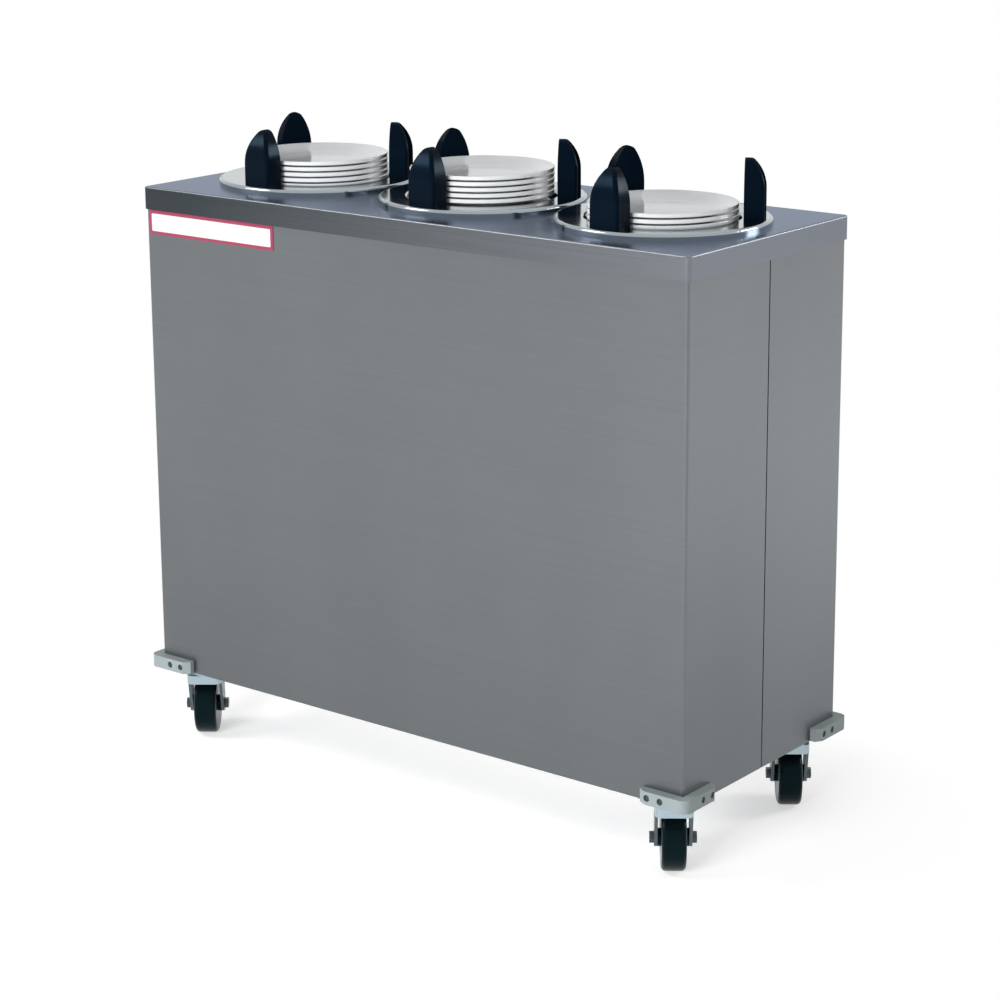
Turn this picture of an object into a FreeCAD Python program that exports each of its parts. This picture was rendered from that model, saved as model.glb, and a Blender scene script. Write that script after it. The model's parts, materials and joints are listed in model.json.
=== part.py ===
import FreeCAD, Part
import math
import os

# Mobile heated plate dispenser: a sheet-steel cabinet on four swivel casters, with three sprung silos.
# Millimetres, +Z up, the front faces -Y. The origin is on the floor under the middle of the cabinet.

# Cabinet
body_length = 1076.0
body_depth = 428.0
body_height = 830.0
shell_sheet = 1.5
shell_corner_radius = 5.0
shell_flange = 22.0
seam_gap = 2.5
seam_return = 14.0
pan_sheet = 2.0
pan_skirt = 37.0
pan_fit = 1.5
pan_edge_radius = 3.0
base_sheet = 2.0
base_upturn = 28.0

# Silos, from left to right
silo_names = ["left", "center", "right"]
ring_end_margin = 26.0
ring_gap = 14.0
ring_width = 47.5
ring_height = 10.0
ring_roll = 5.0
tube_sheet = 1.5
tube_seat = 1.8
tube_length = 735.0
tube_clearance = 1.2
tube_hem = 30.0
slot_count = 3
slot_width = 26.0
slot_end_clearance = 5.0
slot_first_angle = 90.0
hanger_depth = 35.0
hanger_thickness = 3.0
hanger_width = 20.0

# Plates and the carriage under them
plate_clearance = 3.5
plate_foot_inset = 49.0
plate_foot_width = 6.0
plate_foot_height = 4.0
plate_height = 20.0
plate_wall = 5.0
plate_well_margin = 5.0
plate_rim_edge = 6.5
plate_count = 5
rim_level = {"left": 48.0, "center": 55.0, "right": 31.0}
platform_inset = 7.0
platform_thickness = 3.0
platform_hole_radius = 30.0
leg_inset = 20.0
leg_width = 20.0
leg_thickness = 4.0
arm_drop = 230.0
arm_width = 16.0
arm_thickness = 6.0
arm_tail = 11.0
carriage_rise = 25.0
spring_radius = 7.0
spring_clearance = 12.2

# Guide posts that stand on the flange rings
guide_count = 3
guide_first_angle = 30.0
guide_setback = 4.0
guide_width = 53.0
guide_depth = 32.0
guide_height = 89.0
guide_shoulder = 32.0
guide_tip_width = 22.0
guide_tip_drop = 6.0
guide_back_shoulder = 41.0
guide_tip_depth = 12.0
guide_edge_radius = 6.0

# Corner bumpers
bumper_leg = 72.0
bumper_proud = 16.0
bumper_height = 21.0
bumper_corner_radius = 14.0
bumper_end_taper = 12.0
screw_head_radius = 4.5
screw_head_height = 3.0
screw_recess = 5.0
screw_recess_fit = 0.8
screw_shank_radius = 2.4
screw_hole_fit = 0.1
screws_per_leg = 2
screw_from_end = 17.0
screw_spacing = 24.0

# Swivel casters
caster_names = ["front_left", "front_right", "rear_left", "rear_right"]
caster_height = 130.0
caster_inset = 50.0
caster_heading = -53.0
caster_plate_length = 92.0
caster_plate_width = 80.0
caster_plate_thickness = 3.0
caster_plate_corner = 8.0
caster_bolt_spacing_x = 74.0
caster_bolt_spacing_y = 60.0
bolt_head_radius = 7.5
bolt_head_height = 5.0
raceway_radius = 30.0
raceway_height = 11.0
swivel_gap = 0.3
kingpin_radius = 6.0
kingpin_head_radius = 10.0
kingpin_head_height = 3.5
running_fit = 0.05
wheel_radius = 51.0
wheel_width = 38.0
wheel_shoulder = 7.0
trail = 18.0
crown_length = 60.0
crown_thickness = 8.0
crown_corner = 10.0
crown_skirt = 7.0
fork_gap = 5.0
fork_sheet = 5.0
fork_boss_radius = 14.0
axle_radius = 5.0
nut_radius = 9.0
nut_height = 7.0
channel_clearance = 2.5
channel_height = 26.0
channel_sheet = 3.0

# Heating element and its brackets
element_radius = 4.0
element_end_margin = 48.0
element_bend_radius = 60.0
element_height = 38.0
bracket_count = 3
bracket_clearance = 50.0
bracket_sheet = 2.0
bracket_foot = 18.0
bracket_margin = 12.0

# Controls on the rear
panel_length = 236.0
panel_height = 112.0
panel_sheet = 1.5
panel_margin = 20.0
panel_above_base = 500.0
panel_overlap = 14.0
box_depth = 56.0
box_wall = 1.5
box_fit = 1.0
knob_radius = 21.0
knob_grip_radius = 18.0
knob_height = 11.5
knob_skirt = 3.0
knob_grip_width = 11.0
knob_gap = 0.3
knob_shaft_radius = 3.0
thermostat_size = 42.0
thermostat_depth = 30.0
switch_width = 24.0
switch_height = 34.0
switch_bezel = 3.0
switch_bezel_height = 3.0
switch_depth = 24.0
rocker_gap = 0.5
rocker_rise = 4.0
rocker_pin_radius = 1.5
rocker_pin_depth = 1.2
rocker_tilt = 9.0
panel_hole_fit = 0.1
lamp_radius = 6.0
lamp_bezel_radius = 8.5
lamp_bezel_height = 2.0
lamp_dome_height = 4.5
lamp_depth = 18.0
gland_bore_radius = 5.0
gland_neck_radius = 8.5
gland_flange_radius = 12.0
gland_flange_height = 6.0
gland_neck_length = 16.0

# Levels and faces that follow from the sizes above
V = FreeCAD.Vector
Z = V(0, 0, 1)
bottom = caster_height
top = caster_height + body_height
shell_top = top - pan_sheet
half_length = body_length / 2
half_depth = body_depth / 2
ring_top = top + ring_height
silo_count = len(silo_names)
ring_room = body_length - 2 * ring_end_margin - (silo_count - 1) * ring_gap
ring_outer_radius = ring_room / silo_count / 2
ring_opening_radius = ring_outer_radius - ring_width
silo_pitch = 2 * ring_outer_radius + ring_gap
tube_inner_radius = ring_opening_radius + tube_seat
tube_outer_radius = tube_inner_radius + tube_sheet
pan_hole_radius = tube_outer_radius + tube_clearance
tube_foot = top - tube_length
spring_circle_radius = tube_outer_radius + spring_clearance + spring_radius
plate_radius = ring_opening_radius - plate_clearance
plate_foot_radius = plate_radius - plate_foot_inset
platform_radius = plate_radius - platform_inset
leg_radius = platform_radius - leg_inset
guide_inner_radius = ring_opening_radius + guide_setback
hanger_top = top - hanger_depth
hanger_bottom = hanger_top - hanger_thickness
silo_x = {name: (i - (silo_count - 1) / 2) * silo_pitch for i, name in enumerate(silo_names)}
plate_pitch = plate_foot_height + plate_wall
stack_height = plate_height + (plate_count - 1) * plate_pitch
platform_top = {name: top + rim_level[name] - stack_height for name in silo_names}
arm_top = {name: platform_top[name] - platform_thickness - arm_drop for name in silo_names}
slot_top = max(arm_top.values()) + carriage_rise + slot_end_clearance
slot_bottom = tube_foot + tube_hem
carriage_fall = min(arm_top.values()) - arm_thickness - slot_end_clearance - slot_bottom
element_half_length = half_length - element_end_margin - element_bend_radius
channel_x = half_length - caster_inset
channel_width = 2 * (caster_inset - shell_sheet - base_sheet - channel_clearance)
bracket_spacing = channel_x - channel_width / 2 - bracket_foot - bracket_clearance
rear_face = half_depth
panel_x = -silo_pitch / 2
panel_face = rear_face + panel_sheet
panel_z = bottom + panel_above_base
base_top = bottom + base_sheet

# Controls stand in a row on the panel with equal spaces, from the gland to the knob
gland_width = 2 * gland_flange_radius
lamp_width = 2 * lamp_bezel_radius
bezel_width = switch_width + 2 * switch_bezel
knob_width = 2 * knob_radius
row_space = (panel_length - 2 * panel_margin - gland_width - lamp_width - bezel_width - knob_width) / 3
gland_x = -panel_length / 2 + panel_margin + gland_width / 2
lamp_x = gland_x + gland_width / 2 + row_space + lamp_width / 2
switch_x = lamp_x + lamp_width / 2 + row_space + bezel_width / 2
knob_x = switch_x + bezel_width / 2 + row_space + knob_width / 2


def block(x0, x1, y0, y1, z0, z1):
    return Part.makeBox(x1 - x0, y1 - y0, z1 - z0, V(x0, y0, z0))


def centred_block(length, depth, z0, z1):
    return block(-length / 2, length / 2, -depth / 2, depth / 2, z0, z1)


def post(radius, z0, z1, x=0.0, y=0.0):
    return Part.makeCylinder(radius, z1 - z0, V(x, y, z0))


def rod_y(radius, y0, y1, x, z):
    return Part.makeCylinder(radius, y1 - y0, V(x, y0, z), V(0, 1, 0))


def polygon(points):
    return Part.Face(Part.makePolygon(points + points[:1]))


def turned(profile):
    face = polygon([V(radius, 0, z) for radius, z in profile])
    return face.revolve(V(0, 0, 0), Z, 360)


def upright_edges(shape):
    return [e for e in shape.Edges if abs(e.tangentAt(e.FirstParameter).z) > 0.999]


def rounded_prism(length, depth, radius, z0, z1):
    box = centred_block(length, depth, z0, z1)
    return box.makeFillet(radius, upright_edges(box))


def joined(shapes):
    return shapes[0].multiFuse(shapes[1:]).removeSplitter()


def placed(shape, x=0.0, y=0.0, z=0.0, angle=0.0):
    copy = shape.copy()
    copy.rotate(V(0, 0, 0), Z, angle)
    copy.translate(V(x, y, z))
    return copy


def save(name, shapes):
    shape = shapes[0] if len(shapes) == 1 else Part.makeCompound(shapes)
    shape.exportStep("parts/" + name + ".step")


def upright_arc(start, end):
    """Arc in the plane of two (across, height) points that leaves start upright and leans in towards end."""
    run = start[0] - end[0]
    rise = end[1] - start[1]
    radius = (run * run + rise * rise) / (2 * run)
    half = math.asin(rise / radius) / 2
    return start[0] - radius * (1 - math.cos(half)), start[1] + radius * math.sin(half)


# Cabinet shells: two U-shaped wraps that meet in the middle of both ends
def shell_pair():
    outer = rounded_prism(body_length, body_depth, shell_corner_radius, bottom, shell_top)
    inner_radius = shell_corner_radius - shell_sheet
    inner_length = body_length - 2 * shell_sheet
    inner_depth = body_depth - 2 * shell_sheet
    under_flange = shell_top - shell_sheet
    inner = rounded_prism(inner_length, inner_depth, inner_radius, bottom, under_flange)
    mouth = centred_block(body_length - 2 * shell_flange, body_depth - 2 * shell_flange,
                          under_flange, shell_top)
    wrap = outer.cut(inner).cut(mouth)
    half = block(-body_length, body_length, -body_depth, -seam_gap / 2, bottom, top)
    front = wrap.common(half)
    seam_y = -seam_gap / 2
    returns = []
    for side in (-1, 1):
        face_x = side * (half_length - shell_sheet)
        edge_x = face_x - side * seam_return
        returns.append(block(min(face_x, edge_x), max(face_x, edge_x), seam_y - shell_sheet, seam_y,
                             base_top + base_upturn, under_flange))
    front = joined([front] + returns)
    rear = front.mirror(V(0, 0, 0), V(0, 1, 0))
    opening_length = panel_length - 2 * panel_overlap
    opening_height = panel_height - 2 * panel_overlap
    opening = block(panel_x - opening_length / 2, panel_x + opening_length / 2,
                    half_depth - 2 * shell_sheet, half_depth + shell_sheet,
                    panel_z - opening_height / 2, panel_z + opening_height / 2)
    return front, rear.cut(opening)


# Top pan with a turned-down skirt and a hole for each silo
def top_pan():
    length = body_length + 2 * pan_fit + 2 * pan_sheet
    depth = body_depth + 2 * pan_fit + 2 * pan_sheet
    corner = shell_corner_radius + pan_fit + pan_sheet
    outer = rounded_prism(length, depth, corner, top - pan_skirt, top)
    rim = [e for e in outer.Edges if e.BoundBox.ZMin > top - pan_sheet / 2]
    outer = outer.makeFillet(pan_edge_radius, rim)
    inner = rounded_prism(length - 2 * pan_sheet, depth - 2 * pan_sheet, corner - pan_sheet,
                          top - pan_skirt, top - pan_sheet)
    pan = outer.cut(inner)
    for name in silo_names:
        pan = pan.cut(post(pan_hole_radius, top - pan_skirt, top + pan_sheet, silo_x[name]))
    return pan


# Base pan with turned-up edges, and the two channels that stiffen it over the casters
def base_pan():
    length = body_length - 2 * shell_sheet
    depth = body_depth - 2 * shell_sheet
    corner = shell_corner_radius - shell_sheet
    outer = rounded_prism(length, depth, corner, bottom, base_top + base_upturn)
    inner = centred_block(length - 2 * base_sheet, depth - 2 * base_sheet, base_top, base_top + base_upturn)
    return outer.cut(inner)


def caster_channels():
    span = body_depth - 2 * shell_sheet - 2 * base_sheet
    outer = centred_block(channel_width, span, base_top, base_top + channel_height)
    hollow = centred_block(channel_width - 2 * channel_sheet, span, base_top,
                           base_top + channel_height - channel_sheet)
    channel = outer.cut(hollow)
    return [placed(channel, side * channel_x) for side in (-1, 1)]


# Silo pieces
def flange_ring():
    ring = post(ring_outer_radius, top, ring_top).cut(post(ring_opening_radius, top, ring_top))
    rolled = [e for e in ring.Edges if e.BoundBox.ZMin > ring_top - ring_roll / 2]
    return ring.makeFillet(ring_roll, rolled)


def spoke_angles():
    return [slot_first_angle + i * 360.0 / slot_count for i in range(slot_count)]


def silo_tube():
    bore = post(tube_inner_radius, tube_foot, top)
    tube = post(tube_outer_radius, tube_foot, top).cut(bore)
    slot = block(0, tube_outer_radius + tube_sheet, -slot_width / 2, slot_width / 2, slot_bottom, slot_top)
    hanger_tip = spring_circle_radius + hanger_width / 2
    hanger = block(tube_inner_radius + tube_sheet / 2, hanger_tip, -hanger_width / 2, hanger_width / 2,
                   hanger_bottom, hanger_top)
    for angle in spoke_angles():
        tube = tube.cut(placed(slot, angle=angle))
    return joined([tube] + [placed(hanger, angle=angle).cut(bore) for angle in spoke_angles()])


def carriage(name):
    level = platform_top[name]
    under = level - platform_thickness
    platform = post(platform_radius, under, level).cut(post(platform_hole_radius, under, level))
    arm_bottom = arm_top[name] - arm_thickness
    arm = block(0, spring_circle_radius + arm_tail, -arm_width / 2, arm_width / 2, arm_bottom, arm_top[name])
    leg = block(leg_radius - leg_thickness / 2, leg_radius + leg_thickness / 2, -leg_width / 2, leg_width / 2,
                arm_bottom, under)
    spokes = [placed(piece, angle=angle) for angle in spoke_angles() for piece in (arm, leg)]
    return joined([platform] + spokes)


def springs(name):
    coil = post(spring_radius, arm_top[name], hanger_bottom, spring_circle_radius)
    return [placed(coil, silo_x[name], angle=angle) for angle in spoke_angles()]


def plate():
    slope_top = plate_height - plate_rim_edge
    foot_inside = plate_foot_radius - plate_foot_width
    well = plate_foot_radius + plate_well_margin
    return turned([(0, plate_foot_height), (foot_inside, plate_foot_height), (foot_inside, 0),
                   (plate_foot_radius, 0), (plate_radius, slope_top), (plate_radius, plate_height),
                   (well, plate_pitch), (0, plate_pitch)])


def plates(name):
    level = platform_top[name]
    return [placed(plate(), silo_x[name], 0, level + i * plate_pitch) for i in range(plate_count)]


# Guide post: an arched front, a back that leans in to a thin tip, and rounded outer edges
def guide_post():
    half = guide_width / 2
    tip = guide_tip_width / 2
    tip_z = guide_height - guide_tip_drop
    across = [V(0, half, 0), V(0, half, guide_shoulder), V(0, tip, tip_z)]
    bend_y, bend_z = upright_arc((half, guide_shoulder), (tip, tip_z))
    edges = [Part.LineSegment(V(0, -half, 0), across[0]).toShape(),
             Part.LineSegment(across[0], across[1]).toShape(),
             Part.Arc(across[1], V(0, bend_y, bend_z), across[2]).toShape(),
             Part.Arc(across[2], V(0, 0, guide_height), V(0, -tip, tip_z)).toShape(),
             Part.Arc(V(0, -tip, tip_z), V(0, -bend_y, bend_z), V(0, -half, guide_shoulder)).toShape(),
             Part.LineSegment(V(0, -half, guide_shoulder), V(0, -half, 0)).toShape()]
    arch = Part.Face(Part.Wire(edges)).extrude(V(guide_depth, 0, 0))
    back_x, back_z = upright_arc((guide_depth, guide_back_shoulder), (guide_tip_depth, guide_height))
    shoulder = V(guide_depth, -half, guide_back_shoulder)
    nose = V(guide_tip_depth, -half, guide_height)
    edges = [Part.LineSegment(V(0, -half, 0), V(guide_depth, -half, 0)).toShape(),
             Part.LineSegment(V(guide_depth, -half, 0), shoulder).toShape(),
             Part.Arc(shoulder, V(back_x, -half, back_z), nose).toShape(),
             Part.LineSegment(nose, V(0, -half, guide_height)).toShape(),
             Part.LineSegment(V(0, -half, guide_height), V(0, -half, 0)).toShape()]
    side = Part.Face(Part.Wire(edges)).extrude(V(0, guide_width, 0))
    solid = arch.common(side)
    above_foot = [e for e in solid.Edges if e.BoundBox.ZMax > guide_shoulder / 2]
    inner_face = guide_tip_depth / 2
    solid = solid.makeFillet(guide_edge_radius, [e for e in above_foot if e.BoundBox.XMax > inner_face])
    solid.translate(V(guide_inner_radius, 0, ring_top))
    return solid


def guides(name):
    angles = [guide_first_angle + i * 360.0 / guide_count for i in range(guide_count)]
    return [placed(guide_post(), silo_x[name], angle=angle) for angle in angles]


# Corner bumper for the front right corner, with two screws in each leg
def bumper_profile():
    reach = bumper_proud
    inner = bumper_leg
    taper = bumper_end_taper
    return [V(0, 0, 0), V(0, inner, 0), V(reach / 2, inner, 0), V(reach, inner - taper, 0),
            V(reach, -reach, 0), V(-inner + taper, -reach, 0), V(-inner, -reach / 2, 0), V(-inner, 0, 0)]


screw_floor = bumper_proud - screw_recess


def screw_seats():
    """Where each screw leaves the cabinet's face, and which way it points."""
    seats = []
    for i in range(screws_per_leg):
        place = bumper_leg - screw_from_end - i * screw_spacing
        seats.append((V(0, place, bumper_height / 2), V(1, 0, 0)))
        seats.append((V(-place, 0, bumper_height / 2), V(0, -1, 0)))
    return seats


def bumper():
    solid = polygon(bumper_profile()).extrude(V(0, 0, bumper_height))
    corner = [e for e in upright_edges(solid)
              if e.BoundBox.XMin > bumper_proud / 2 and e.BoundBox.YMax < -bumper_proud / 2]
    solid = solid.makeFillet(bumper_corner_radius, corner)
    for face, way in screw_seats():
        hole_radius = screw_shank_radius + screw_hole_fit
        recess_radius = screw_head_radius + screw_recess_fit
        solid = solid.cut(Part.makeCylinder(hole_radius, bumper_proud, face, way))
        solid = solid.cut(Part.makeCylinder(recess_radius, screw_recess, face + way * screw_floor, way))
    return solid


def bumper_screws():
    screws = []
    for face, way in screw_seats():
        shank = Part.makeCylinder(screw_shank_radius, screw_floor, face, way)
        head = Part.makeCylinder(screw_head_radius, screw_head_height, face + way * screw_floor, way)
        screws.append(joined([shank, head]))
    return screws


def at_corners(shapes):
    """Copies of pieces drawn at the front right corner, for all four corners in the order of caster_names."""
    corners = []
    for fore in (-1, 1):
        for side in (-1, 1):
            copies = []
            for shape in shapes:
                copy = shape.copy()
                if side < 0:
                    copy = copy.mirror(V(0, 0, 0), V(1, 0, 0))
                if fore > 0:
                    copy = copy.mirror(V(0, 0, 0), V(0, 1, 0))
                copy.translate(V(side * half_length, fore * half_depth, bottom))
                copies.append(copy)
            corners.append(copies)
    return corners


# Casters, drawn with the swivel axis on Z, the wheel trailing along -X and the axle along Y
plate_under = caster_height - caster_plate_thickness
raceway_under = plate_under - raceway_height
crown_top = raceway_under - swivel_gap
crown_under = crown_top - crown_thickness
skirt_under = crown_under - crown_skirt
fork_inside = wheel_width / 2 + fork_gap
fork_outside = fork_inside + fork_sheet


def caster_plate():
    plate_solid = rounded_prism(caster_plate_length, caster_plate_width, caster_plate_corner,
                                plate_under, caster_height)
    head_top = crown_under - swivel_gap
    pin = turned([(0, plate_under), (raceway_radius, plate_under), (raceway_radius, raceway_under),
                  (kingpin_radius, raceway_under), (kingpin_radius, head_top),
                  (kingpin_head_radius, head_top), (kingpin_head_radius, head_top - kingpin_head_height),
                  (0, head_top - kingpin_head_height)])
    return joined([plate_solid, pin])


def caster_bolts():
    head = polygon([V(bolt_head_radius * math.cos(math.radians(60 * i)),
                      bolt_head_radius * math.sin(math.radians(60 * i)), 0) for i in range(6)])
    head = head.extrude(V(0, 0, -bolt_head_height))
    return [placed(head, i * caster_bolt_spacing_x / 2, j * caster_bolt_spacing_y / 2, plate_under)
            for i in (-1, 1) for j in (-1, 1)]


def caster_fork():
    half = crown_length / 2
    crown = rounded_prism(crown_length, 2 * fork_outside, crown_corner, skirt_under, crown_top)
    hollow = block(-half, half - fork_sheet, -fork_inside, fork_inside, skirt_under, crown_under)
    crown = crown.cut(hollow)
    leg_top = half - crown_corner
    outline = [V(leg_top, fork_inside, crown_top), V(-leg_top, fork_inside, crown_top),
               V(-trail - fork_boss_radius, fork_inside, wheel_radius),
               V(-trail + fork_boss_radius, fork_inside, wheel_radius)]
    leg = polygon(outline).extrude(V(0, fork_sheet, 0))
    boss = rod_y(fork_boss_radius, fork_inside, fork_outside, -trail, wheel_radius)
    other = [piece.mirror(V(0, 0, 0), V(0, 1, 0)) for piece in (leg, boss)]
    fork = joined([crown, leg, boss] + other)
    fork = fork.cut(post(kingpin_radius + running_fit, crown_under, crown_top))
    return fork.cut(rod_y(axle_radius + running_fit, -fork_outside, fork_outside, -trail, wheel_radius))


def caster_axle():
    shank = rod_y(axle_radius, -fork_outside, fork_outside, -trail, wheel_radius)
    ends = []
    for y0 in (-fork_outside - nut_height, fork_outside):
        corners = [V(nut_radius * math.cos(math.radians(60 * i)) - trail, y0,
                     nut_radius * math.sin(math.radians(60 * i)) + wheel_radius) for i in range(6)]
        ends.append(polygon(corners).extrude(V(0, nut_height, 0)))
    return joined([shank] + ends)


def caster_wheel():
    half = wheel_width / 2
    bore = axle_radius + running_fit
    hub_half = fork_inside - swivel_gap
    hub_radius = fork_boss_radius
    wheel = turned([(bore, -hub_half), (hub_radius, -hub_half), (hub_radius, -half),
                    (wheel_radius, -half), (wheel_radius, half), (hub_radius, half),
                    (hub_radius, hub_half), (bore, hub_half)])
    shoulders = [e for e in wheel.Edges if e.BoundBox.XMax > wheel_radius - wheel_shoulder / 2]
    wheel = wheel.makeFillet(wheel_shoulder, [e for e in shoulders if e.Closed])
    wheel.rotate(V(0, 0, 0), V(1, 0, 0), 90)
    wheel.translate(V(-trail, 0, wheel_radius))
    return wheel


# Hairpin heating element over the base pan, on three brackets
def element_path_height():
    return base_top + element_height


def heating_element():
    z = element_path_height()
    near = V(-element_half_length, -element_bend_radius, z)
    near_end = V(element_half_length, -element_bend_radius, z)
    far_end = V(element_half_length, element_bend_radius, z)
    far = V(-element_half_length, element_bend_radius, z)
    bend = V(element_half_length + element_bend_radius, 0, z)
    path = Part.Wire([Part.LineSegment(near, near_end).toShape(),
                      Part.Arc(near_end, bend, far_end).toShape(),
                      Part.LineSegment(far_end, far).toShape()])
    section = Part.Wire([Part.Circle(near, V(1, 0, 0), element_radius).toShape()])
    return path.makePipeShell([section], True, False)


def element_brackets():
    z = element_path_height()
    half_span = element_bend_radius + element_radius + bracket_margin
    upright = block(-bracket_sheet / 2, bracket_sheet / 2, -half_span, half_span,
                    base_top, z + bracket_margin)
    for side in (-1, 1):
        hole = Part.makeCylinder(element_radius + running_fit, 2 * bracket_sheet,
                                 V(-bracket_sheet, side * element_bend_radius, z), V(1, 0, 0))
        upright = upright.cut(hole)
    foot = block(-bracket_sheet / 2, bracket_foot, -half_span, half_span, base_top, base_top + bracket_sheet)
    bracket = joined([upright, foot])
    middle = (bracket_count - 1) / 2
    return [placed(bracket, (i - middle) * bracket_spacing) for i in range(bracket_count)]


# Controls on the rear: panel, box, thermostat with its knob, rocker switch, lamp and cord gland
def control_panel():
    panel = block(panel_x - panel_length / 2, panel_x + panel_length / 2, rear_face, panel_face,
                  panel_z - panel_height / 2, panel_z + panel_height / 2)
    holes = [rod_y(knob_shaft_radius + running_fit, rear_face, panel_face, panel_x + knob_x, panel_z),
             rod_y(lamp_radius + panel_hole_fit, rear_face, panel_face, panel_x + lamp_x, panel_z),
             rod_y(gland_neck_radius + panel_hole_fit, rear_face, panel_face, panel_x + gland_x, panel_z),
             switch_block(switch_width, switch_height, rear_face, panel_face)]
    for hole in holes:
        panel = panel.cut(hole)
    return panel


def switch_block(width, height, y0, y1):
    x = panel_x + switch_x
    return block(x - width / 2, x + width / 2, y0, y1, panel_z - height / 2, panel_z + height / 2)


def control_box():
    length = panel_length - 2 * panel_overlap - 2 * box_fit
    height = panel_height - 2 * panel_overlap - 2 * box_fit
    back = rear_face - box_depth
    outer = block(panel_x - length / 2, panel_x + length / 2, back, rear_face,
                  panel_z - height / 2, panel_z + height / 2)
    inner = block(panel_x - length / 2 + box_wall, panel_x + length / 2 - box_wall,
                  back + box_wall, rear_face,
                  panel_z - height / 2 + box_wall, panel_z + height / 2 - box_wall)
    return outer.cut(inner)


def thermostat():
    x = panel_x + knob_x
    half = thermostat_size / 2
    body = block(x - half, x + half, rear_face - thermostat_depth, rear_face, panel_z - half, panel_z + half)
    shaft_hole = rod_y(knob_shaft_radius + running_fit, rear_face - thermostat_depth / 2, rear_face,
                       x, panel_z)
    return body.cut(shaft_hole)


def thermostat_knob():
    foot = panel_face + knob_gap
    crest = foot + knob_height
    shaft_end = rear_face - thermostat_depth / 2 + knob_gap
    shaft = rod_y(knob_shaft_radius, shaft_end, foot, 0, 0)
    skirt = rod_y(knob_radius, foot, foot + knob_skirt, 0, 0)
    bar = block(-knob_grip_width / 2, knob_grip_width / 2, foot, crest, -knob_grip_radius, knob_grip_radius)
    grip = rod_y(knob_grip_radius, foot, crest, 0, 0).common(bar)
    knob = joined([shaft, skirt, grip])
    knob.translate(V(panel_x + knob_x, 0, panel_z))
    return knob


def switch_housing():
    flange = switch_block(switch_width + 2 * switch_bezel, switch_height + 2 * switch_bezel,
                          panel_face, panel_face + switch_bezel_height)
    body = switch_block(switch_width, switch_height, rear_face - switch_depth, panel_face)
    housing = joined([flange, body])
    wall = switch_bezel
    well = switch_block(switch_width - 2 * wall, switch_height - 2 * wall,
                        rear_face - switch_depth + wall, panel_face + switch_bezel_height)
    pin_half = switch_width / 2 - wall + rocker_pin_depth + rocker_gap
    pivot = Part.makeCylinder(rocker_pin_radius + running_fit, 2 * pin_half,
                              V(panel_x + switch_x - pin_half, rear_face, panel_z), V(1, 0, 0))
    return housing.cut(well).cut(pivot)


def switch_rocker():
    half_width = switch_width / 2 - switch_bezel - rocker_gap
    half_height = switch_height / 2 - switch_bezel - 2 * rocker_gap
    crest = panel_face + switch_bezel_height + rocker_rise
    x = panel_x + switch_x - half_width
    keel = rear_face - rocker_pin_radius - switch_bezel
    outline = [V(x, keel, panel_z), V(x, rear_face, panel_z - half_height / 2),
               V(x, crest, panel_z - half_height), V(x, crest - rocker_rise / 2, panel_z),
               V(x, crest, panel_z + half_height), V(x, rear_face, panel_z + half_height / 2)]
    rocker = polygon(outline).extrude(V(2 * half_width, 0, 0))
    pin_half = half_width + rocker_pin_depth + rocker_gap
    pin = Part.makeCylinder(rocker_pin_radius, 2 * pin_half,
                            V(panel_x + switch_x - pin_half, rear_face, panel_z), V(1, 0, 0))
    rocker = joined([rocker, pin])
    rocker.rotate(V(panel_x + switch_x, rear_face, panel_z), V(1, 0, 0), -rocker_tilt)
    return rocker


def pilot_lamp():
    x = panel_x + lamp_x
    barrel = rod_y(lamp_radius, rear_face - lamp_depth, panel_face, x, panel_z)
    bezel = rod_y(lamp_bezel_radius, panel_face, panel_face + lamp_bezel_height, x, panel_z)
    lens_foot = panel_face + lamp_bezel_height
    lens = rod_y(lamp_radius, lens_foot, lens_foot + lamp_dome_height, x, panel_z)
    return joined([barrel, bezel, lens])


def cord_gland():
    x = panel_x + gland_x
    flange = rod_y(gland_flange_radius, panel_face, panel_face + gland_flange_height, x, panel_z)
    neck = rod_y(gland_neck_radius, rear_face - gland_neck_length, panel_face, x, panel_z)
    gland = joined([flange, neck])
    return gland.cut(rod_y(gland_bore_radius, rear_face - gland_neck_length, panel_face + gland_flange_height,
                           x, panel_z))


def build():
    os.makedirs("parts", exist_ok=True)
    front, rear = shell_pair()
    save("front_shell", [front])
    save("rear_shell", [rear])
    save("top_pan", [top_pan()])
    save("base_pan", [base_pan()])
    save("caster_channels", caster_channels())
    for name in silo_names:
        save("flange_ring_" + name, [placed(flange_ring(), silo_x[name])])
        save("silo_tube_" + name, [placed(silo_tube(), silo_x[name])])
        save("carriage_" + name, [placed(carriage(name), silo_x[name])])
        save("springs_" + name, springs(name))
        save("plates_" + name, plates(name))
        save("guides_" + name, guides(name))
    for name, pieces in zip(caster_names, at_corners([bumper()])):
        save("bumper_" + name, pieces)
    save("bumper_screws", [screw for group in at_corners(bumper_screws()) for screw in group])
    bolts = []
    for i, name in enumerate(caster_names):
        x = channel_x * (1 if i % 2 else -1)
        y = (half_depth - caster_inset) * (1 if i > 1 else -1)
        save("caster_plate_" + name, [placed(caster_plate(), x, y)])
        bolts += [placed(bolt, x, y) for bolt in caster_bolts()]
        for piece, shape in (("fork", caster_fork()), ("axle", caster_axle()), ("wheel", caster_wheel())):
            save("caster_" + piece + "_" + name, [placed(shape, x, y, 0, caster_heading)])
    save("caster_bolts", bolts)
    save("heating_element", [heating_element()])
    save("element_brackets", element_brackets())
    save("control_panel", [control_panel()])
    save("control_box", [control_box()])
    save("thermostat", [thermostat()])
    save("thermostat_knob", [thermostat_knob()])
    save("switch_housing", [switch_housing()])
    save("switch_rocker", [switch_rocker()])
    save("pilot_lamp", [pilot_lamp()])
    save("cord_gland", [cord_gland()])


build()
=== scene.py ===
import json
import math

import bmesh
import bpy
from mathutils import Matrix, Vector


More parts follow.
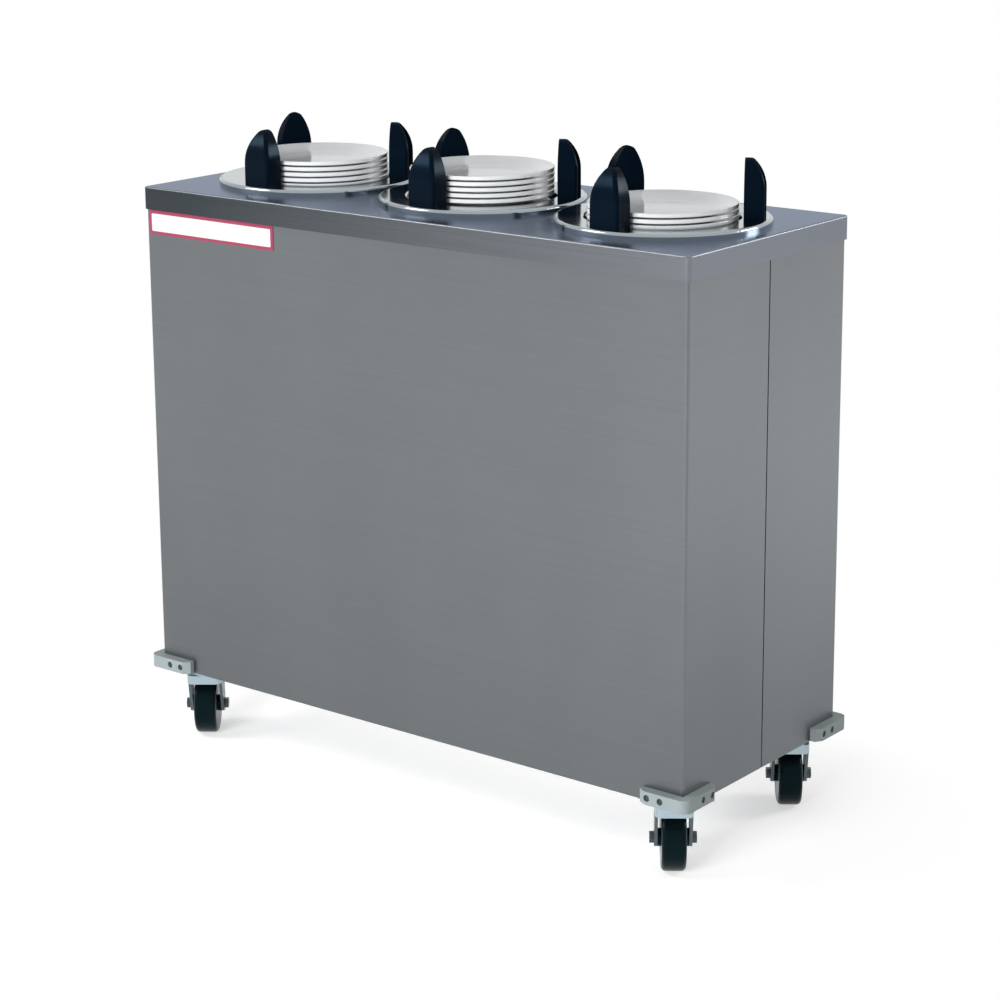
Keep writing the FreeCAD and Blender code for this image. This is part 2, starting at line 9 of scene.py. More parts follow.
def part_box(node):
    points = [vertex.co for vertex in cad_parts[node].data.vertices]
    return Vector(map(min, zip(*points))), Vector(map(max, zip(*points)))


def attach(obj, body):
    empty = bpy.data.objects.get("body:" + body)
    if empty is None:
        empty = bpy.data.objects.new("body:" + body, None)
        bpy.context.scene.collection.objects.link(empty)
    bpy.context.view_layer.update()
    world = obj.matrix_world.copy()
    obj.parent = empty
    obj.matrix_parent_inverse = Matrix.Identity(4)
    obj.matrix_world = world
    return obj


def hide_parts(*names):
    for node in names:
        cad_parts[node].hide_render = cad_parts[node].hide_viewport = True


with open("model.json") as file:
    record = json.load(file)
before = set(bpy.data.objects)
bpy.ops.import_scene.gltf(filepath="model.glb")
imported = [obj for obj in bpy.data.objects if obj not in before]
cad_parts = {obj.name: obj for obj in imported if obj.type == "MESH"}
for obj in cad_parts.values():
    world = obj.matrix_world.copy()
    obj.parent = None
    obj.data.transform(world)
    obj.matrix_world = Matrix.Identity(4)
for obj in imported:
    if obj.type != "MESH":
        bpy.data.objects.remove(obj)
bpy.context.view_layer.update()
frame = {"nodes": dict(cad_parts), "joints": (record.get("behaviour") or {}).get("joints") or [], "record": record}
nodes = frame["nodes"]

# Names that repeat in the frame
SILOS = ["left", "center", "right"]
CORNERS = ["front_left", "front_right", "rear_left", "rear_right"]

# Camera: place in metres, angles in degrees, focal length in pixels of a 1000 pixel frame
CAMERA_PLACE = (2.562, -3.225, 1.627)
CAMERA_AZIMUTH = 38.11
CAMERA_ELEVATION = 13.56
CAMERA_ROLL = -0.37
FOCAL_PIXELS = 2624.0
FRAME_PIXELS = 1000.0
SENSOR_WIDTH = 36.0
SHIFT_Y = -0.1

# Lamps: place, aim and size in metres, power in watts, colour
WHITE = (1.0, 1.0, 1.0)
LAMPS = {
    "key": ((-2.9, -2.8, 3.4), (0.0, 0.0, 0.9), (2.0, 1.6), 105.0, WHITE),
    "overhead": ((0.0, 0.3, 4.2), (0.0, 0.0, 0.0), (3.5, 3.0), 5.0, WHITE),
    "side": ((3.0, 3.2, 2.2), (0.5, 0.0, 0.9), (1.4, 1.2), 74.0, (1.0, 0.97, 0.94)),
    "fill": ((0.6, -4.2, 1.3), (0.0, 0.0, 1.0), (2.0, 1.5), 185.0, WHITE),
}
UNMIRRORED_LAMPS = ["fill"]

# World light that falls on things
SOFT_COLOR = (0.93, 0.96, 1.0)
SOFT_STRENGTH = 0.19

# Floor: its shadow shows within a box about the origin and fades out over a range past it, in metres
FLOOR_HALF = 30.0
FLOOR_COLOR = (0.85, 0.84, 0.84)
FLOOR_GLOW = 0.44
SHADOW_HALF = (0.42, 0.10, 0.0)
SHADOW_RANGE = (0.05, 0.40)

# Floor as mirrors see it: dim about a place at the front left, and pale beyond the range, in metres
DIM_CENTRE = (-0.5, -0.6, 0.0)
DIM_RANGE = (1.6, 3.2)
DIM_GLOW = 0.5

# Plates, in metres: the rims stack a foot and a wall apart
PLATE_SEGMENTS = 128
PLATE_HEIGHT = 0.020
FOOT_RADIUS = 0.066
FOOT_WIDTH = 0.006
FOOT_HEIGHT = 0.004
FOOT_ROUND = 0.001
FOOT_BEVEL = 0.0003
WALL = 0.005
PLATE_PITCH = FOOT_HEIGHT + WALL
RIM_EDGE = 0.0065
RIM_ROUND = 0.0019

# Curves of the plate between foot, rim and well, as (radius, height) in metres
UNDERSIDE = [(0.075, 0.0026), (0.086, 0.0058), (0.097, 0.0092), (0.106, 0.0120)]
DISH = [(0.104, 0.0168), (0.095, 0.0138), (0.086, 0.0112), (0.078, 0.0096)]
WELL_RADII = [0.070, 0.060, 0.0]

# Level of the edge of the fork's crown, below which the legs carry painted shade, and half the height over which
# the colour changes
FORK_LEVEL = 0.099
FORK_BLEND = 0.002

# Blank plate on the front, under the lip
LABEL_LENGTH = 0.276
LABEL_HEIGHT = 0.040
LABEL_THICKNESS = 0.0008
LABEL_CORNER = 0.003
LABEL_INSET = 0.007
LABEL_DROP = 0.001
LABEL_BORDER = 0.0055

# Painted marks on the rear panel and the knob
MARK_THICKNESS = 0.0003
TICK_COUNT = 10
TICK_SWEEP = 270.0
TICK_RADIUS = 0.0250
TICK_LENGTH = 0.0045
TICK_WIDTH = 0.0011
INDEX_LENGTH = 0.011
INDEX_MARGIN = 0.001
GRIP_RADIUS = 0.018

# Colours
STEEL = (0.138, 0.150, 0.158)
BRIGHT_STEEL = (0.23, 0.24, 0.26)
# Ends of the pan lip's colour: painted shade at its left end, painted highlight at its right
LIP_SHADE_TO_HIGHLIGHT = [(0.046, 0.054, 0.058), (0.165, 0.174, 0.190)]
# Lavender-blue tint of the pan's reflections: a painted reflection colour
PAN_PAINTED_REFLECTION = (0.54, 0.60, 0.72)
RING_STEEL = (0.34, 0.38, 0.40)
GALVANISED = (0.50, 0.52, 0.53)
ZINC = (0.36, 0.45, 0.50)
# Dark zinc of the axles, which also serves as painted shade on the screws in the bumper's recesses
DARK_ZINC_AND_RECESS_SHADE = (0.060, 0.082, 0.087)
# Fork legs: zinc darkened as painted shade
FORK_LEGS_PAINTED_SHADE = (0.10, 0.13, 0.14)
SPRING_WIRE = (0.30, 0.31, 0.32)
SHEATH = (0.10, 0.10, 0.11)
GLAZE = (0.76, 0.777, 0.785)
GUIDE = (0.0014, 0.0036, 0.0075)
# Blue tint of the guides' reflections: a painted reflection colour
GUIDE_PAINTED_REFLECTION = (0.15, 0.55, 1.0)
BUMPER = (0.25, 0.29, 0.295)
WHEEL = (0.0018, 0.0040, 0.0052)
# Teal tint of the wheels' highlights: a painted highlight colour
WHEEL_PAINTED_REFLECTION = (0.3, 0.8, 0.9)
CONTROL = (0.02, 0.02, 0.022)
RUBBER = (0.03, 0.03, 0.032)
AMBER = (0.75, 0.28, 0.04)
LABEL_FRAME = (0.24, 0.022, 0.060)
LABEL_FIELD = (0.62, 0.60, 0.60)

# Scales of object coordinates: as they are, as they are on plan, and for streaks that lie level
METRES = (1.0, 1.0, 1.0)
ON_PLAN = (1.0, 1.0, 0.0)
LEVEL_STREAKS = (3.0, 3.0, 620.0)

# Turned rings to the metre, and how much rougher the pan's lip is than its top
TURNED_RINGS = 900.0
LIP_ROUGHER = 0.16

# Relief of sheet and plate finishes, of mouldings and of glaze, in metres
FINE_RELIEF = 0.0002
SKIN_RELIEF = 0.0003
GLAZE_RELIEF = 0.001

# Sockets of a mix node that take and give colours
MIX_FIRST, MIX_SECOND, MIX_RESULT = 6, 7, 2


# Node helpers
def add(tree, kind, **settings):
    node = tree.nodes.new(kind)
    for key, value in settings.items():
        setattr(node, key, value)
    return node


def new_material(name, color, metallic, roughness):
    material = bpy.data.materials.new(name)
    material.use_nodes = True
    shader = material.node_tree.nodes["Principled BSDF"]
    shader.inputs["Base Color"].default_value = (*color, 1.0)
    shader.inputs["Metallic"].default_value = metallic
    shader.inputs["Roughness"].default_value = roughness
    return material, material.node_tree, shader


def even(scale):
    return (scale, scale, scale)


def object_coordinates(tree, scale, centre=(0.0, 0.0, 0.0)):
    """Coordinates in metres from a centre, stretched by scale."""
    source = add(tree, "ShaderNodeTexCoord")
    mapping = add(tree, "ShaderNodeMapping")
    mapping.inputs["Location"].default_value = [-c * s for c, s in zip(centre, scale)]
    mapping.inputs["Scale"].default_value = scale
    tree.links.new(source.outputs["Object"], mapping.inputs["Vector"])
    return mapping.outputs["Vector"]


def axis(tree, vector, letter):
    node = add(tree, "ShaderNodeSeparateXYZ")
    tree.links.new(vector, node.inputs["Vector"])
    return node.outputs[letter]


def length(tree, vector):
    node = add(tree, "ShaderNodeVectorMath", operation="LENGTH")
    tree.links.new(vector, node.inputs[0])
    return node.outputs["Value"]


def calculate(tree, operation, *values):
    """A math node on values that are sockets or numbers."""
    node = add(tree, "ShaderNodeMath", operation=operation)
    for socket, value in zip(node.inputs, values):
        if isinstance(value, float):
            socket.default_value = value
        else:
            tree.links.new(value, socket)
    return node.outputs[0]


def noise(tree, vector, scale=1.0, detail=3.0, roughness=0.55):
    node = add(tree, "ShaderNodeTexNoise")
    node.inputs["Scale"].default_value = scale
    node.inputs["Detail"].default_value = detail
    node.inputs["Roughness"].default_value = roughness
    tree.links.new(vector, node.inputs["Vector"])
    return node.outputs["Fac"]


def spread(tree, value, low, high, near=0.3, far=0.7):
    """Maps a value between near and far, which suit noise, to low and high."""
    node = add(tree, "ShaderNodeMapRange")
    node.inputs["From Min"].default_value = near
    node.inputs["From Max"].default_value = far
    node.inputs["To Min"].default_value = low
    node.inputs["To Max"].default_value = high
    tree.links.new(value, node.inputs["Value"])
    return node.outputs["Result"]


def mixed_color(tree, factor, first, second):
    node = add(tree, "ShaderNodeMix", data_type="RGBA")
    node.inputs[MIX_FIRST].default_value = (*first, 1.0)
    node.inputs[MIX_SECOND].default_value = (*second, 1.0)
    tree.links.new(factor, node.inputs["Factor"])
    return node.outputs[MIX_RESULT]


def vary_color(tree, shader, factor, first, second):
    tree.links.new(mixed_color(tree, factor, first, second), shader.inputs["Base Color"])


def vary_roughness(tree, shader, value, low, high, near=0.3, far=0.7):
    tree.links.new(spread(tree, value, low, high, near, far), shader.inputs["Roughness"])


def bump(tree, shader, height, strength, distance):
    node = add(tree, "ShaderNodeBump")
    node.inputs["Strength"].default_value = strength
    node.inputs["Distance"].default_value = distance
    tree.links.new(height, node.inputs["Height"])
    tree.links.new(node.outputs["Normal"], shader.inputs["Normal"])


def shade(color, factor):
    return tuple(c * factor for c in color)


# Materials
def brushed_steel(name, color, roughness, grain, metallic, contrast, smudge, relief):
    """Steel with fine streaks: grain is large across the streaks and small along them."""
    material, tree, shader = new_material(name, color, metallic, roughness)
    streak = noise(tree, object_coordinates(tree, grain), detail=4.0)
    cloud = noise(tree, object_coordinates(tree, (2.2, 2.2, 1.3)), scale=1.6, detail=5.0)
    tone = calculate(tree, "ADD", spread(tree, streak, -contrast, contrast),
                     spread(tree, cloud, -smudge, smudge))
    vary_color(tree, shader, spread(tree, tone, 0.0, 1.0, -0.25, 0.25),
               shade(color, 0.75), shade(color, 1.25))
    vary_roughness(tree, shader, tone, roughness * 0.82, roughness * 1.18, -0.2, 0.2)
    bump(tree, shader, streak, relief, SKIN_RELIEF)
    return material


def turned_steel(name, color, roughness, centre):
    """Steel polished in rings about an upright axis through centre."""
    material, tree, shader = new_material(name, color, 1.0, roughness)
    radius = length(tree, object_coordinates(tree, ON_PLAN, centre))
    across = add(tree, "ShaderNodeCombineXYZ")
    tree.links.new(calculate(tree, "MULTIPLY", radius, TURNED_RINGS), across.inputs["X"])
    rings = noise(tree, across.outputs["Vector"])
    cloud = noise(tree, object_coordinates(tree, even(9.0)), detail=4.0)
    vary_color(tree, shader, spread(tree, rings, 0.0, 1.0), shade(color, 0.9), shade(color, 1.08))
    vary_roughness(tree, shader, cloud, roughness * 0.7, roughness * 1.4)
    bump(tree, shader, rings, 0.04, FINE_RELIEF)
    return material


def spangled_zinc(name, color, roughness, cell):
    """Zinc coat with crystal facets of about the cell size."""
    material, tree, shader = new_material(name, color, 0.85, roughness)
    crystals = add(tree, "ShaderNodeTexVoronoi")
    crystals.inputs["Scale"].default_value = 1.0 / cell
    tree.links.new(object_coordinates(tree, METRES), crystals.inputs["Vector"])
    grey = add(tree, "ShaderNodeRGBToBW")
    tree.links.new(crystals.outputs["Color"], grey.inputs["Color"])
    facet = grey.outputs["Val"]
    vary_color(tree, shader, facet, shade(color, 0.86), shade(color, 1.12))
    vary_roughness(tree, shader, facet, roughness * 0.8, roughness * 1.25, 0.0, 1.0)
    fine = noise(tree, object_coordinates(tree, even(900.0)))
    bump(tree, shader, fine, 0.06, FINE_RELIEF)
    return material


def fork_steel(name, crown_color, shaded_leg_color, level, roughness):
    """Zinc above a level in metres, and below it the legs' zinc darkened as painted shade."""
    material, tree, shader = new_material(name, crown_color, 0.85, roughness)
    height = axis(tree, object_coordinates(tree, METRES), "Z")
    upper = spread(tree, height, 0.0, 1.0, level - FORK_BLEND, level + FORK_BLEND)
    fine = noise(tree, object_coordinates(tree, even(120.0)), detail=4.0)
    # Below the level the legs take the darker colour, painted shade on zinc
    vary_color(tree, shader, upper, shaded_leg_color, crown_color)
    vary_roughness(tree, shader, fine, roughness * 0.8, roughness * 1.25)
    bump(tree, shader, fine, 0.05, FINE_RELIEF)
    return material


def pan_steel(name, flat_color, lip_shade_to_highlight, roughness):
    """Sheet polished on its flat top and streaked along its lip, whose colour runs from painted shade at its left
    end to a painted highlight at its right.
    """
    material, tree, shader = new_material(name, flat_color, 1.0, roughness)
    # The pan's reflections are tinted lavender-blue, a painted reflection colour
    shader.inputs["Specular Tint"].default_value = (*PAN_PAINTED_REFLECTION, 1.0)
    facing = add(tree, "ShaderNodeNewGeometry")
    flat = spread(tree, axis(tree, facing.outputs["Normal"], "Z"), 0.0, 1.0, 0.35, 0.85)
    streak = noise(tree, object_coordinates(tree, LEVEL_STREAKS), detail=4.0)
    cloud = noise(tree, object_coordinates(tree, (2.4, 5.0, 2.0)), detail=4.0)
    # Along X the lip's colour runs from painted shade at the left to a painted highlight at the right, with fine
    # streaks on top
    along = axis(tree, object_coordinates(tree, METRES), "X")
    grain_and_painted_light = calculate(tree, "ADD", spread(tree, along, 0.0, 1.0, -0.45, 0.55),
                        spread(tree, streak, -0.08, 0.08))
    lip = mixed_color(tree, grain_and_painted_light, *lip_shade_to_highlight)
    top = mixed_color(tree, spread(tree, cloud, 0.0, 1.0),
                      shade(flat_color, 0.93), shade(flat_color, 1.07))
    both = add(tree, "ShaderNodeMix", data_type="RGBA")
    tree.links.new(flat, both.inputs["Factor"])
    tree.links.new(lip, both.inputs[MIX_FIRST])
    tree.links.new(top, both.inputs[MIX_SECOND])
    tree.links.new(both.outputs[MIX_RESULT], shader.inputs["Base Color"])
    rough = spread(tree, cloud, roughness * 0.9 + LIP_ROUGHER, roughness * 1.1 + LIP_ROUGHER)
    tree.links.new(calculate(tree, "MULTIPLY_ADD", flat, -LIP_ROUGHER, rough),
                   shader.inputs["Roughness"])
    bump(tree, shader, streak, 0.03, FINE_RELIEF)
    return material


def moulded_plastic(name, color, roughness, grain, relief, wear=0.15, gloss=0.5, tint=WHITE,
                    matt_edges=False):
    """Moulding with a fine skin, cloudy gloss and slightly paler handling marks."""
    material, tree, shader = new_material(name, color, 0.0, roughness)
    shader.inputs["Specular IOR Level"].default_value = gloss
    if matt_edges:
        weight = add(tree, "ShaderNodeLayerWeight")
        tree.links.new(spread(tree, weight.outputs["Facing"], gloss, 0.0),
                       shader.inputs["Specular IOR Level"])
    # A specular tint other than white gives a painted reflection colour, blue on the guides and teal on the wheels
    shader.inputs["Specular Tint"].default_value = (*tint, 1.0)
    skin = noise(tree, object_coordinates(tree, even(grain)), detail=2.0)
    cloud = noise(tree, object_coordinates(tree, (14.0, 14.0, 9.0)), detail=5.0, roughness=0.6)
    vary_color(tree, shader, spread(tree, cloud, 0.0, 1.0, 0.35, 0.75),
               color, shade(color, 1.0 + wear))
    vary_roughness(tree, shader, cloud, roughness * 0.75, roughness * 1.3)
    bump(tree, shader, skin, relief, SKIN_RELIEF)
    return material


def glazed_porcelain(name, color):
    """White glaze over clay, with faint grey cutlery marks."""
    material, tree, shader = new_material(name, color, 0.0, 0.12)
    shader.inputs["Specular IOR Level"].default_value = 0.3
    shader.inputs["Coat Weight"].default_value = 0.15
    shader.inputs["Coat Roughness"].default_value = 0.05
    marks = noise(tree, object_coordinates(tree, (160.0, 14.0, 60.0)), detail=5.0, roughness=0.7)
    vary_color(tree, shader, spread(tree, marks, 0.0, 1.0, 0.62, 0.80), color, shade(color, 0.88))
    waves = noise(tree, object_coordinates(tree, even(35.0)), detail=1.0)
    vary_roughness(tree, shader, waves, 0.08, 0.17)
    bump(tree, shader, waves, 0.05, GLAZE_RELIEF)
    return material


def clear_lens(name, color):
    """Coloured lens with a fine ripple."""
    material, tree, shader = new_material(name, color, 0.0, 0.12)
    shader.inputs["Transmission Weight"].default_value = 0.55
    shader.inputs["IOR"].default_value = 1.49
    ripple = noise(tree, object_coordinates(tree, even(500.0)), detail=1.0)
    vary_roughness(tree, shader, ripple, 0.08, 0.2)
    bump(tree, shader, ripple, 0.1, SKIN_RELIEF)
    return material


def silo_centre(name):
    low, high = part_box("flange_ring_" + name)
    return (low + high) / 2


porcelain = glazed_porcelain("porcelain", GLAZE)
dark_zinc_and_recess_shade = spangled_zinc("black_zinc_and_recess_shade", DARK_ZINC_AND_RECESS_SHADE, roughness=0.36, cell=0.004)
# Fork: zinc crown, legs in painted shade
fork_zinc_and_painted_shade = fork_steel("fork_zinc_and_painted_shade", ZINC, FORK_LEGS_PAINTED_SHADE, FORK_LEVEL, roughness=0.32)
frame_paint = moulded_plastic("plate_paint", LABEL_FRAME, roughness=0.35, grain=400.0, relief=0.05)
field_paint = moulded_plastic("field_paint", LABEL_FIELD, roughness=0.40, grain=400.0, relief=0.05,
                              wear=-0.08)
mark_paint = moulded_plastic("mark_paint", CONTROL, roughness=0.5, grain=900.0, relief=0.05)

slot_materials = {
    "satin_stainless": brushed_steel("satin_steel", STEEL, roughness=0.36, grain=LEVEL_STREAKS,
                                     metallic=0.92, contrast=0.04, smudge=0.05, relief=0.05),
    "polished_stainless": pan_steel("top_steel", BRIGHT_STEEL, LIP_SHADE_TO_HIGHLIGHT, roughness=0.22),
    "galvanised_steel": spangled_zinc("galvanised", GALVANISED, roughness=0.42, cell=0.012),
    "zinc_plate": spangled_zinc("zinc", ZINC, roughness=0.34, cell=0.004),
    "spring_steel": spangled_zinc("spring_wire", SPRING_WIRE, roughness=0.35, cell=0.003),
    "element_sheath": spangled_zinc("sheath", SHEATH, roughness=0.55, cell=0.006),
    "white_porcelain": porcelain,
    "black_guide": moulded_plastic("guide_plastic", GUIDE, roughness=0.24, grain=260.0, relief=0.05,
                                   gloss=0.07, tint=GUIDE_PAINTED_REFLECTION, matt_edges=True),
    "grey_bumper": moulded_plastic("bumper_plastic", BUMPER, roughness=0.48, grain=700.0,
                                   relief=0.12, gloss=0.3),
    "black_wheel": moulded_plastic("wheel_rubber", WHEEL, roughness=0.24, grain=500.0, relief=0.10,
                                   gloss=0.12, tint=WHEEL_PAINTED_REFLECTION),
    "black_control": moulded_plastic("control_plastic", CONTROL, roughness=0.45, grain=900.0,
                                     relief=0.20),
    "gland_rubber": moulded_plastic("gland_rubber", RUBBER, roughness=0.65, grain=900.0,
                                    relief=0.20),
    "amber_lens": clear_lens("amber", AMBER),
}


def dress(node, material):
    node.data.materials.clear()
    node.data.materials.append(material)


for row in frame["record"]["subparts"]:
    dress(nodes[row["node"]], slot_materials[row["material_slot"]])
for silo in SILOS:
    ring_steel = turned_steel("ring_steel_" + silo, RING_STEEL, 0.12, silo_centre(silo))
    dress(nodes["flange_ring_" + silo], ring_steel)
for corner in CORNERS:
    dress(nodes["caster_fork_" + corner], fork_zinc_and_painted_shade)
    dress(nodes["caster_axle_" + corner], dark_zinc_and_recess_shade)
# The bumper's screws get the dark zinc as painted shade of their recesses
dress(nodes["bumper_screws"], dark_zinc_and_recess_shade)


# Mesh helpers
def mesh_object(name, mesh, material, body):
    piece = bpy.data.objects.new(name, mesh)
    bpy.context.scene.collection.objects.link(piece)
    piece.data.materials.append(material)
    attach(piece, body)
    return piece


def finished_mesh(name, build):
    """The mesh of a bmesh whose faces are turned outward."""
    bmesh.ops.recalc_face_normals(build, faces=build.faces[:])
    mesh = bpy.data.meshes.new(name)
    build.to_mesh(mesh)
    build.free()
    return mesh


def arc_points(centre, radius, start, end, steps):
    """Points on an arc about centre, from start to end degrees."""
    angles = [math.radians(start + (end - start) * i / steps) for i in range(steps + 1)]
    return [(centre[0] + radius * math.cos(a), centre[1] + radius * math.sin(a)) for a in angles]


def lathe(shapes, segments):
    """Closed turned bodies: each of shapes is an outline of (radius, height) and a centre on plan."""
    build = bmesh.new()
    turns = [2 * math.pi * i / segments for i in range(segments)]
    for outline, centre in shapes:
        rings = []
        for radius, height in outline:
            if radius < 1e-6:
                rings.append([build.verts.new((centre[0], centre[1], height))] * segments)
                continue
            rings.append([build.verts.new((centre[0] + radius * math.cos(t),
                                           centre[1] + radius * math.sin(t), height)) for t in turns])
        for lower, upper in zip(rings, rings[1:]):
            for i in range(segments):
                j = (i + 1) % segments
                corners = []
                for vert in (lower[i], lower[j], upper[j], upper[i]):
                    if vert not in corners:
                        corners.append(vert)
                if len(corners) > 2:
                    build.faces.new(corners).smooth = True
    return finished_mesh("turned", build)


# Plates: foot ring, flat well, curved wall and an upright rim
def plate_outline(radius, level):
    inner = FOOT_RADIUS - FOOT_WIDTH
    points = [(0.0, FOOT_HEIGHT), (inner, FOOT_HEIGHT), (inner + FOOT_ROUND, FOOT_BEVEL),
              (FOOT_RADIUS - FOOT_ROUND, 0.0), (FOOT_RADIUS, FOOT_ROUND)]
    points += UNDERSIDE
    lower_edge = (radius - RIM_ROUND, PLATE_HEIGHT - RIM_EDGE + RIM_ROUND)
    upper_edge = (radius - RIM_ROUND, PLATE_HEIGHT - RIM_ROUND)
    points += arc_points(lower_edge, RIM_ROUND, -75, 0, 6)
    points += arc_points(upper_edge, RIM_ROUND, 0, 105, 8)
    points += DISH
    points += [(well, FOOT_HEIGHT + WALL) for well in WELL_RADII]
    return [(r, z + level) for r, z in points]


def add_plates(silo):
    low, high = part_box("plates_" + silo)
    centre = (low + high) / 2
    radius = (high.x - low.x) / 2
    count = 1 + round((high.z - low.z - PLATE_HEIGHT) / PLATE_PITCH)
    shapes = [(plate_outline(radius, low.z + i * PLATE_PITCH), centre) for i in range(count)]
    piece = mesh_object("china_" + silo, lathe(shapes, PLATE_SEGMENTS), porcelain,
                        "carriage_" + silo)
    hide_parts("plates_" + silo)


# Flat marks that lie on an upright face
def rounded_outline(width, height, corner, steps=6):
    """A rounded rectangle about its centre, as (across, up) points."""
    points = []
    for turn, (across, up) in enumerate([(1, 1), (-1, 1), (-1, -1), (1, -1)]):
        centre = (across * (width / 2 - corner), up * (height / 2 - corner))
        points += arc_points(centre, corner, 90 * turn, 90 * turn + 90, steps)
    return points


def turned_outline(outline, degrees):
    c, s = math.cos(math.radians(degrees)), math.sin(math.radians(degrees))
    return [(c * a - s * b, s * a + c * b) for a, b in outline]


def slab(outline, face_y, thickness, place, outward):
    """An outline in X and Z on the face at face_y, as thick as given in the outward direction."""
    build = bmesh.new()
    near = [build.verts.new((place[0] + a, face_y, place[1] + b)) for a, b in outline]
    far = [build.verts.new((v.co.x, face_y + outward * thickness, v.co.z)) for v in near]
    build.faces.new(near)
    build.faces.new(far)
    for i in range(len(near)):
        j = (i + 1) % len(near)
        build.faces.new((near[i], near[j], far[j], far[i]))
    return finished_mesh("slab", build)


def add_front_plate():
    """A blank plate: an empty field in a coloured border."""
    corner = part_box("front_shell")[0]
    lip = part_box("top_pan")[0].z
    place = (corner.x + LABEL_INSET + LABEL_LENGTH / 2, lip - LABEL_DROP - LABEL_HEIGHT / 2)
    whole = rounded_outline(LABEL_LENGTH, LABEL_HEIGHT, LABEL_CORNER)
    mesh_object("front_plate", slab(whole, corner.y, LABEL_THICKNESS, place, -1), frame_paint,
                "cabinet")
    face = corner.y - LABEL_THICKNESS
    field = rounded_outline(LABEL_LENGTH - 2 * LABEL_BORDER, LABEL_HEIGHT - 2 * LABEL_BORDER,
                            LABEL_CORNER / 2)
    mesh_object("front_plate_field", slab(field, face, MARK_THICKNESS, place, -1), field_paint,
                "cabinet")


def joint_place(name):
    return next(joint["pos_m"] for joint in frame["joints"] if joint["name"] == name)


def bar_outline(bar_length):
    return rounded_outline(TICK_WIDTH, bar_length, TICK_WIDTH / 3, steps=3)


def add_dial_marks():
    """Ticks round the thermostat's knob, and an index on the knob."""
    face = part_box("control_panel")[1].y
    x, _, z = joint_place("thermostat_turn")
    reach = TICK_RADIUS + TICK_LENGTH / 2
    for i in range(TICK_COUNT):
        angle = TICK_SWEEP * i / (TICK_COUNT - 1)
        turn = math.radians(angle)
        place = (x - reach * math.sin(turn), z + reach * math.cos(turn))
        tick = turned_outline(bar_outline(TICK_LENGTH), angle)
        mesh_object("dial_tick_%d" % i, slab(tick, face, MARK_THICKNESS, place, 1),
                    mark_paint, "cabinet")
    knob_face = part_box("thermostat_knob")[1].y
    place = (x, z + GRIP_RADIUS - INDEX_LENGTH / 2 - INDEX_MARGIN)
    mesh_object("knob_index", slab(bar_outline(INDEX_LENGTH), knob_face, MARK_THICKNESS, place, 1),
                field_paint, "thermostat_knob")


for silo in SILOS:
    add_plates(silo)
add_front_plate()
add_dial_marks()


# Floor, backdrop and light
def outside(tree, half):
    """Distance in metres on plan from a box about the origin with the given half sizes."""
    size = add(tree, "ShaderNodeVectorMath", operation="ABSOLUTE")
    tree.links.new(object_coordinates(tree, ON_PLAN), size.inputs[0])
    beyond = add(tree, "ShaderNodeVectorMath", operation="SUBTRACT")
    beyond.inputs[1].default_value = half
    tree.links.new(size.outputs["Vector"], beyond.inputs[0])
    clipped = add(tree, "ShaderNodeVectorMath", operation="MAXIMUM")
    tree.links.new(beyond.outputs["Vector"], clipped.inputs[0])
    return length(tree, clipped.outputs["Vector"])


def glow(tree, strength):
    node = add(tree, "ShaderNodeEmission")
    node.inputs["Color"].default_value = (*WHITE, 1.0)
    node.inputs["Strength"].default_value = strength
    return node


def joined_shaders(tree, kind, first, second, factor=None):
    """The sum of two shaders, or their mix by a factor."""
    node = add(tree, kind)
    inputs = node.inputs[-2:]
    tree.links.new(first, inputs[0])
    tree.links.new(second, inputs[1])
    if factor is not None:
        tree.links.new(factor, node.inputs["Fac"])
    return node.outputs[0]


def floor_material():
    """Pale floor that keeps its shadow close, and grows paler with distance in mirrors."""
    material = bpy.data.materials.new("floor")
    material.use_nodes = True
    tree = material.node_tree
    tree.nodes.remove(tree.nodes["Principled BSDF"])
    path = add(tree, "ShaderNodeLightPath")
    diffuse = add(tree, "ShaderNodeBsdfDiffuse")
    diffuse.inputs["Color"].default_value = (*FLOOR_COLOR, 1.0)
    lit = diffuse.outputs[0]
    near = joined_shaders(tree, "ShaderNodeAddShader", lit, glow(tree, FLOOR_GLOW).outputs[0])
    away = spread(tree, outside(tree, SHADOW_HALF), 0.0, 1.0, *SHADOW_RANGE)
    seen = joined_shaders(tree, "ShaderNodeMixShader", near, glow(tree, 1.0).outputs[0], away)
    paler = glow(tree, 1.0)
    distance = length(tree, object_coordinates(tree, ON_PLAN, DIM_CENTRE))
    tree.links.new(spread(tree, distance, DIM_GLOW, 1.0, *DIM_RANGE), paler.inputs["Strength"])
    mirrored = joined_shaders(tree, "ShaderNodeAddShader", lit, paler.outputs[0])
    unseen = joined_shaders(tree, "ShaderNodeMixShader", lit, mirrored, path.outputs["Is Glossy Ray"])
    whole = joined_shaders(tree, "ShaderNodeMixShader", unseen, seen, path.outputs["Is Camera Ray"])
    tree.links.new(whole, tree.nodes["Material Output"].inputs["Surface"])
    return material


def add_floor(half):
    mesh = bpy.data.meshes.new("floor")
    corners = [(-half, -half, 0), (half, -half, 0), (half, half, 0), (-half, half, 0)]
    mesh.from_pydata(corners, [], [(0, 1, 2, 3)])
    floor = bpy.data.objects.new("floor", mesh)
    bpy.context.scene.collection.objects.link(floor)
    floor.data.materials.append(floor_material())


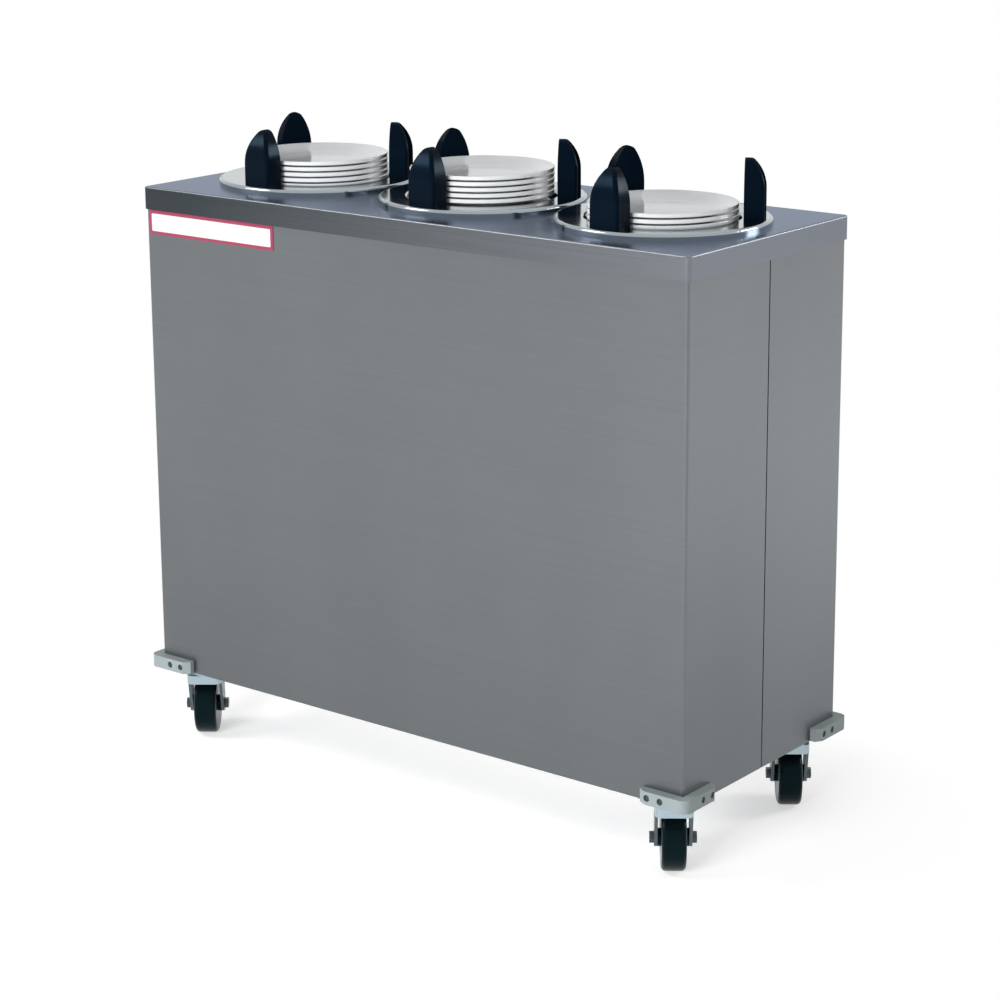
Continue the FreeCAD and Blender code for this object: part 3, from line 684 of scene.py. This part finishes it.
def add_world():
    """White to the camera and to mirrors, and a soft light on everything else."""
    world = bpy.data.worlds.new("studio")
    bpy.context.scene.world = world
    world.use_nodes = True
    tree = world.node_tree
    soft = tree.nodes["Background"]
    soft.inputs["Color"].default_value = (*SOFT_COLOR, 1.0)
    soft.inputs["Strength"].default_value = SOFT_STRENGTH
    white = add(tree, "ShaderNodeBackground")
    white.inputs["Color"].default_value = (*WHITE, 1.0)
    white.inputs["Strength"].default_value = 1.0
    path = add(tree, "ShaderNodeLightPath")
    shown = calculate(tree, "MAXIMUM", path.outputs["Is Camera Ray"], path.outputs["Is Glossy Ray"])
    whole = joined_shaders(tree, "ShaderNodeMixShader", soft.outputs[0], white.outputs[0], shown)
    tree.links.new(whole, tree.nodes["World Output"].inputs["Surface"])


def add_lamp(name, place, aim, size, power, color):
    light = bpy.data.lights.new(name, "AREA")
    light.shape = "RECTANGLE"
    light.size, light.size_y = size
    light.energy = power
    light.color = color
    lamp = bpy.data.objects.new(name, light)
    bpy.context.scene.collection.objects.link(lamp)
    lamp.location = place
    lamp.rotation_euler = (Vector(aim) - Vector(place)).to_track_quat("-Z", "Y").to_euler()
    lamp.visible_glossy = name not in UNMIRRORED_LAMPS


def add_camera():
    data = bpy.data.cameras.new("camera")
    data.sensor_width = SENSOR_WIDTH
    data.lens = FOCAL_PIXELS * SENSOR_WIDTH / FRAME_PIXELS
    data.shift_y = SHIFT_Y
    camera = bpy.data.objects.new("camera", data)
    bpy.context.scene.collection.objects.link(camera)
    azimuth, elevation = math.radians(CAMERA_AZIMUTH), math.radians(CAMERA_ELEVATION)
    back = Vector((math.sin(azimuth) * math.cos(elevation), -math.cos(azimuth) * math.cos(elevation),
                   math.sin(elevation)))
    roll = Matrix.Rotation(math.radians(CAMERA_ROLL), 3, "Z")
    turn = back.to_track_quat("Z", "Y").to_matrix() @ roll
    camera.matrix_world = Matrix.Translation(CAMERA_PLACE) @ turn.to_4x4()
    bpy.context.scene.camera = camera


add_floor(FLOOR_HALF)
add_world()
for name, settings in LAMPS.items():
    add_lamp(name, *settings)
add_camera()
bpy.context.scene.view_settings.view_transform = "Standard"
